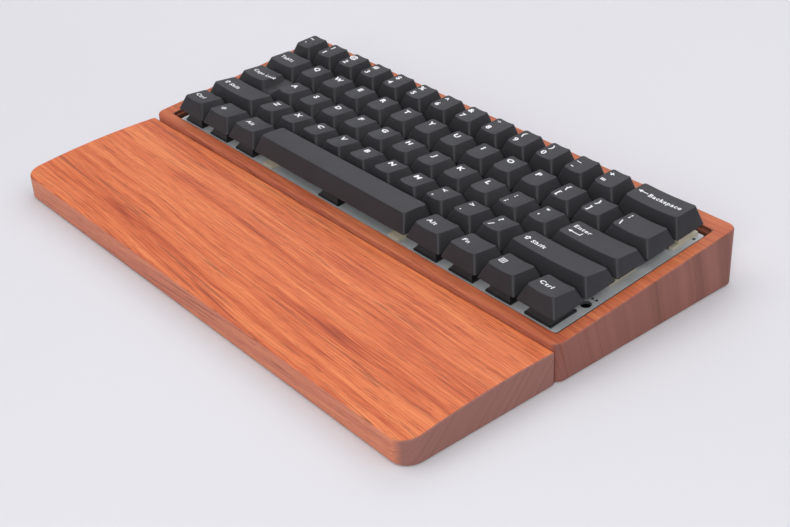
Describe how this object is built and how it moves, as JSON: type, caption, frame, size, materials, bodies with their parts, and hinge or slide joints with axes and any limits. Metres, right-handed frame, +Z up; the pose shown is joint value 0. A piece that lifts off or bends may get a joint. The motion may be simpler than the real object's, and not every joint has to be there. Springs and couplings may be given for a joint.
{
  "type": "mechanical keyboard",
  "caption": "Compact mechanical keyboard with sculpted dark keycaps in a wedge-shaped solid wood case, and a separate matching wood wrist rest in front.",
  "frame": {"origin": "on the table, at the middle of the footprint of the case and wrist rest together", "axes": "+X to the typist's right along the keyboard, +Y towards the back edge, +Z up"},
  "size_m": [0.3096, 0.1958, 0.0418],
  "materials": {
    "wood": "satin oiled reddish hardwood",
    "keycap": "matte charcoal",
    "housing": "matte black",
    "stabilizer": "matte cream",
    "plate": "fine brushed",
    "board": "solder mask",
    "chip": "moulded epoxy",
    "steel": "plain",
    "spring": "plain",
    "brass": "turned",
    "rubber": "matte black"
  },
  "bodies": {
    "base": {"case": "wood", "case_feet": "rubber", "switch_plate": "plate", "circuit_board": "board", "switch_bottom_housings": "housing", "switch_top_housings": "housing", "switch_springs": "spring", "stabilizer_housings": "stabilizer", "controller_chip": "chip", "diodes": "chip", "usb_socket": "steel", "board_screws": "steel", "threaded_inserts": "brass"},
    "key_numbers_left": {"key_numbers_left": "keycap"},
    "key_numbers_right": {"key_numbers_right": "keycap"},
    "key_backspace": {"key_backspace": "keycap"},
    "key_tab": {"key_tab": "keycap"},
    "key_top_letters_left": {"key_top_letters_left": "keycap"},
    "key_top_letters_right": {"key_top_letters_right": "keycap"},
    "key_backslash": {"key_backslash": "keycap"},
    "key_caps_lock": {"key_caps_lock": "keycap"},
    "key_a": {"key_a": "keycap"},
    "key_s": {"key_s": "keycap"},
    "key_d": {"key_d": "keycap"},
    "key_f": {"key_f": "keycap"},
    "key_g": {"key_g": "keycap"},
    "key_h": {"key_h": "keycap"},
    "key_j": {"key_j": "keycap"},
    "key_k": {"key_k": "keycap"},
    "key_l": {"key_l": "keycap"},
    "key_semicolon": {"key_semicolon": "keycap"},
    "key_quote": {"key_quote": "keycap"},
    "key_enter": {"key_enter": "keycap"},
    "key_left_shift": {"key_left_shift": "keycap"},
    "key_z": {"key_z": "keycap"},
    "key_x": {"key_x": "keycap"},
    "key_c": {"key_c": "keycap"},
    "key_v": {"key_v": "keycap"},
    "key_b": {"key_b": "keycap"},
    "key_n": {"key_n": "keycap"},
    "key_m": {"key_m": "keycap"},
    "key_comma": {"key_comma": "keycap"},
    "key_period": {"key_period": "keycap"},
    "key_slash": {"key_slash": "keycap"},
    "key_right_shift": {"key_right_shift": "keycap"},
    "key_left_ctrl": {"key_left_ctrl": "keycap"},
    "key_system": {"key_system": "keycap"},
    "key_left_alt": {"key_left_alt": "keycap"},
    "key_space": {"key_space": "keycap"},
    "key_right_alt": {"key_right_alt": "keycap"},
    "key_fn": {"key_fn": "keycap"},
    "key_menu": {"key_menu": "keycap"},
    "key_right_ctrl": {"key_right_ctrl": "keycap"},
    "wire_backspace": {"wire_backspace": "steel"},
    "wire_enter": {"wire_enter": "steel"},
    "wire_left_shift": {"wire_left_shift": "steel"},
    "wire_right_shift": {"wire_right_shift": "steel"},
    "wire_space": {"wire_space": "steel"},
    "wrist_rest": {"wrist_rest": "wood", "wrist_rest_feet": "rubber"}
  },
  "joints": [
    {"name": "key_numbers_left_press", "type": "slide", "parent": "base", "child": "key_numbers_left", "axis": [0, 0.0819, -0.9966], "range_m": [0, 0.004], "stiffness_N_per_m": 450, "springref_m": -0.004, "deforming": ["switch_springs"]},
    {"name": "key_numbers_right_press", "type": "slide", "parent": "base", "child": "key_numbers_right", "axis": [0, 0.0819, -0.9966], "range_m": [0, 0.004], "stiffness_N_per_m": 525, "springref_m": -0.004, "deforming": ["switch_springs"]},
    {"name": "key_backspace_press", "type": "slide", "parent": "base", "child": "key_backspace", "axis": [0, 0.0819, -0.9966], "range_m": [0, 0.004], "stiffness_N_per_m": 75, "springref_m": -0.004, "deforming": ["switch_springs"]},
    {"name": "key_tab_press", "type": "slide", "parent": "base", "child": "key_tab", "axis": [0, 0.0819, -0.9966], "range_m": [0, 0.004], "stiffness_N_per_m": 75, "springref_m": -0.004, "deforming": ["switch_springs"]},
    {"name": "key_top_letters_left_press", "type": "slide", "parent": "base", "child": "key_top_letters_left", "axis": [0, 0.0819, -0.9966], "range_m": [0, 0.004], "stiffness_N_per_m": 450, "springref_m": -0.004, "deforming": ["switch_springs"]},
    {"name": "key_top_letters_right_press", "type": "slide", "parent": "base", "child": "key_top_letters_right", "axis": [0, 0.0819, -0.9966], "range_m": [0, 0.004], "stiffness_N_per_m": 450, "springref_m": -0.004, "deforming": ["switch_springs"]},
    {"name": "key_backslash_press", "type": "slide", "parent": "base", "child": "key_backslash", "axis": [0, 0.0819, -0.9966], "range_m": [0, 0.004], "stiffness_N_per_m": 75, "springref_m": -0.004, "deforming": ["switch_springs"]},
    {"name": "key_caps_lock_press", "type": "slide", "parent": "base", "child": "key_caps_lock", "axis": [0, 0.0819, -0.9966], "range_m": [0, 0.004], "stiffness_N_per_m": 75, "springref_m": -0.004, "deforming": ["switch_springs"]},
    {"name": "key_a_press", "type": "slide", "parent": "base", "child": "key_a", "axis": [0, 0.0819, -0.9966], "range_m": [0, 0.004], "stiffness_N_per_m": 75, "springref_m": -0.004, "deforming": ["switch_springs"]},
    {"name": "key_s_press", "type": "slide", "parent": "base", "child": "key_s", "axis": [0, 0.0819, -0.9966], "range_m": [0, 0.004], "stiffness_N_per_m": 75, "springref_m": -0.004, "deforming": ["switch_springs"]},
    {"name": "key_d_press", "type": "slide", "parent": "base", "child": "key_d", "axis": [0, 0.0819, -0.9966], "range_m": [0, 0.004], "stiffness_N_per_m": 75, "springref_m": -0.004, "deforming": ["switch_springs"]},
    {"name": "key_f_press", "type": "slide", "parent": "base", "child": "key_f", "axis": [0, 0.0819, -0.9966], "range_m": [0, 0.004], "stiffness_N_per_m": 75, "springref_m": -0.004, "deforming": ["switch_springs"]},
    {"name": "key_g_press", "type": "slide", "parent": "base", "child": "key_g", "axis": [0, 0.0819, -0.9966], "range_m": [0, 0.004], "stiffness_N_per_m": 75, "springref_m": -0.004, "deforming": ["switch_springs"]},
    {"name": "key_h_press", "type": "slide", "parent": "base", "child": "key_h", "axis": [0, 0.0819, -0.9966], "range_m": [0, 0.004], "stiffness_N_per_m": 75, "springref_m": -0.004, "deforming": ["switch_springs"]},
    {"name": "key_j_press", "type": "slide", "parent": "base", "child": "key_j", "axis": [0, 0.0819, -0.9966], "range_m": [0, 0.004], "stiffness_N_per_m": 75, "springref_m": -0.004, "deforming": ["switch_springs"]},
    {"name": "key_k_press", "type": "slide", "parent": "base", "child": "key_k", "axis": [0, 0.0819, -0.9966], "range_m": [0, 0.004], "stiffness_N_per_m": 75, "springref_m": -0.004, "deforming": ["switch_springs"]},
    {"name": "key_l_press", "type": "slide", "parent": "base", "child": "key_l", "axis": [0, 0.0819, -0.9966], "range_m": [0, 0.004], "stiffness_N_per_m": 75, "springref_m": -0.004, "deforming": ["switch_springs"]},
    {"name": "key_semicolon_press", "type": "slide", "parent": "base", "child": "key_semicolon", "axis": [0, 0.0819, -0.9966], "range_m": [0, 0.004], "stiffness_N_per_m": 75, "springref_m": -0.004, "deforming": ["switch_springs"]},
    {"name": "key_quote_press", "type": "slide", "parent": "base", "child": "key_quote", "axis": [0, 0.0819, -0.9966], "range_m": [0, 0.004], "stiffness_N_per_m": 75, "springref_m": -0.004, "deforming": ["switch_springs"]},
    {"name": "key_enter_press", "type": "slide", "parent": "base", "child": "key_enter", "axis": [0, 0.0819, -0.9966], "range_m": [0, 0.004], "stiffness_N_per_m": 75, "springref_m": -0.004, "deforming": ["switch_springs"]},
    {"name": "key_left_shift_press", "type": "slide", "parent": "base", "child": "key_left_shift", "axis": [0, 0.0819, -0.9966], "range_m": [0, 0.004], "stiffness_N_per_m": 75, "springref_m": -0.004, "deforming": ["switch_springs"]},
    {"name": "key_z_press", "type": "slide", "parent": "base", "child": "key_z", "axis": [0, 0.0819, -0.9966], "range_m": [0, 0.004], "stiffness_N_per_m": 75, "springref_m": -0.004, "deforming": ["switch_springs"]},
    {"name": "key_x_press", "type": "slide", "parent": "base", "child": "key_x", "axis": [0, 0.0819, -0.9966], "range_m": [0, 0.004], "stiffness_N_per_m": 75, "springref_m": -0.004, "deforming": ["switch_springs"]},
    {"name": "key_c_press", "type": "slide", "parent": "base", "child": "key_c", "axis": [0, 0.0819, -0.9966], "range_m": [0, 0.004], "stiffness_N_per_m": 75, "springref_m": -0.004, "deforming": ["switch_springs"]},
    {"name": "key_v_press", "type": "slide", "parent": "base", "child": "key_v", "axis": [0, 0.0819, -0.9966], "range_m": [0, 0.004], "stiffness_N_per_m": 75, "springref_m": -0.004, "deforming": ["switch_springs"]},
    {"name": "key_b_press", "type": "slide", "parent": "base", "child": "key_b", "axis": [0, 0.0819, -0.9966], "range_m": [0, 0.004], "stiffness_N_per_m": 75, "springref_m": -0.004, "deforming": ["switch_springs"]},
    {"name": "key_n_press", "type": "slide", "parent": "base", "child": "key_n", "axis": [0, 0.0819, -0.9966], "range_m": [0, 0.004], "stiffness_N_per_m": 75, "springref_m": -0.004, "deforming": ["switch_springs"]},
    {"name": "key_m_press", "type": "slide", "parent": "base", "child": "key_m", "axis": [0, 0.0819, -0.9966], "range_m": [0, 0.004], "stiffness_N_per_m": 75, "springref_m": -0.004, "deforming": ["switch_springs"]},
    {"name": "key_comma_press", "type": "slide", "parent": "base", "child": "key_comma", "axis": [0, 0.0819, -0.9966], "range_m": [0, 0.004], "stiffness_N_per_m": 75, "springref_m": -0.004, "deforming": ["switch_springs"]},
    {"name": "key_period_press", "type": "slide", "parent": "base", "child": "key_period", "axis": [0, 0.0819, -0.9966], "range_m": [0, 0.004], "stiffness_N_per_m": 75, "springref_m": -0.004, "deforming": ["switch_springs"]},
    {"name": "key_slash_press", "type": "slide", "parent": "base", "child": "key_slash", "axis": [0, 0.0819, -0.9966], "range_m": [0, 0.004], "stiffness_N_per_m": 75, "springref_m": -0.004, "deforming": ["switch_springs"]},
    {"name": "key_right_shift_press", "type": "slide", "parent": "base", "child": "key_right_shift", "axis": [0, 0.0819, -0.9966], "range_m": [0, 0.004], "stiffness_N_per_m": 75, "springref_m": -0.004, "deforming": ["switch_springs"]},
    {"name": "key_left_ctrl_press", "type": "slide", "parent": "base", "child": "key_left_ctrl", "axis": [0, 0.0819, -0.9966], "range_m": [0, 0.004], "stiffness_N_per_m": 75, "springref_m": -0.004, "deforming": ["switch_springs"]},
    {"name": "key_system_press", "type": "slide", "parent": "base", "child": "key_system", "axis": [0, 0.0819, -0.9966], "range_m": [0, 0.004], "stiffness_N_per_m": 75, "springref_m": -0.004, "deforming": ["switch_springs"]},
    {"name": "key_left_alt_press", "type": "slide", "parent": "base", "child": "key_left_alt", "axis": [0, 0.0819, -0.9966], "range_m": [0, 0.004], "stiffness_N_per_m": 75, "springref_m": -0.004, "deforming": ["switch_springs"]},
    {"name": "key_space_press", "type": "slide", "parent": "base", "child": "key_space", "axis": [0, 0.0819, -0.9966], "range_m": [0, 0.004], "stiffness_N_per_m": 75, "springref_m": -0.004, "deforming": ["switch_springs"]},
    {"name": "key_right_alt_press", "type": "slide", "parent": "base", "child": "key_right_alt", "axis": [0, 0.0819, -0.9966], "range_m": [0, 0.004], "stiffness_N_per_m": 75, "springref_m": -0.004, "deforming": ["switch_springs"]},
    {"name": "key_fn_press", "type": "slide", "parent": "base", "child": "key_fn", "axis": [0, 0.0819, -0.9966], "range_m": [0, 0.004], "stiffness_N_per_m": 75, "springref_m": -0.004, "deforming": ["switch_springs"]},
    {"name": "key_menu_press", "type": "slide", "parent": "base", "child": "key_menu", "axis": [0, 0.0819, -0.9966], "range_m": [0, 0.004], "stiffness_N_per_m": 75, "springref_m": -0.004, "deforming": ["switch_springs"]},
    {"name": "key_right_ctrl_press", "type": "slide", "parent": "base", "child": "key_right_ctrl", "axis": [0, 0.0819, -0.9966], "range_m": [0, 0.004], "stiffness_N_per_m": 75, "springref_m": -0.004, "deforming": ["switch_springs"]},
    {"name": "wire_backspace_swing", "type": "hinge", "parent": "base", "child": "wire_backspace", "pos_m": [0.12845, 0.06504, 0.02654], "axis": [1, 0, 0], "range_deg": [-25.2, 0]},
    {"name": "wire_enter_swing", "type": "hinge", "parent": "base", "child": "wire_enter", "pos_m": [0.12607, 0.02706, 0.02342], "axis": [1, 0, 0], "range_deg": [-25.2, 0]},
    {"name": "wire_left_shift_swing", "type": "hinge", "parent": "base", "child": "wire_left_shift", "pos_m": [-0.11682, 0.00808, 0.02186], "axis": [1, 0, 0], "range_deg": [-25.2, 0]},
    {"name": "wire_right_shift_swing", "type": "hinge", "parent": "base", "child": "wire_right_shift", "pos_m": [0.12131, 0.00808, 0.02186], "axis": [1, 0, 0], "range_deg": [-25.2, 0]},
    {"name": "wire_space_swing", "type": "hinge", "parent": "base", "child": "wire_space", "pos_m": [-0.00728, 0.00803, 0.02186], "axis": [1, 0, 0], "range_deg": [0, 25.2]},
    {"name": "wrist_rest_slide", "type": "slide", "parent": "base", "child": "wrist_rest", "axis": [0, -1, 0], "range_m": [0, 0.12]}
  ],
  "couplings": [
    {"joint": "wire_backspace_swing", "follows": "key_backspace_press", "rad_per_m": -109.33},
    {"joint": "wire_enter_swing", "follows": "key_enter_press", "rad_per_m": -109.33},
    {"joint": "wire_left_shift_swing", "follows": "key_left_shift_press", "rad_per_m": -109.33},
    {"joint": "wire_right_shift_swing", "follows": "key_right_shift_press", "rad_per_m": -109.33},
    {"joint": "wire_space_swing", "follows": "key_space_press", "rad_per_m": 109.33}
  ]
}
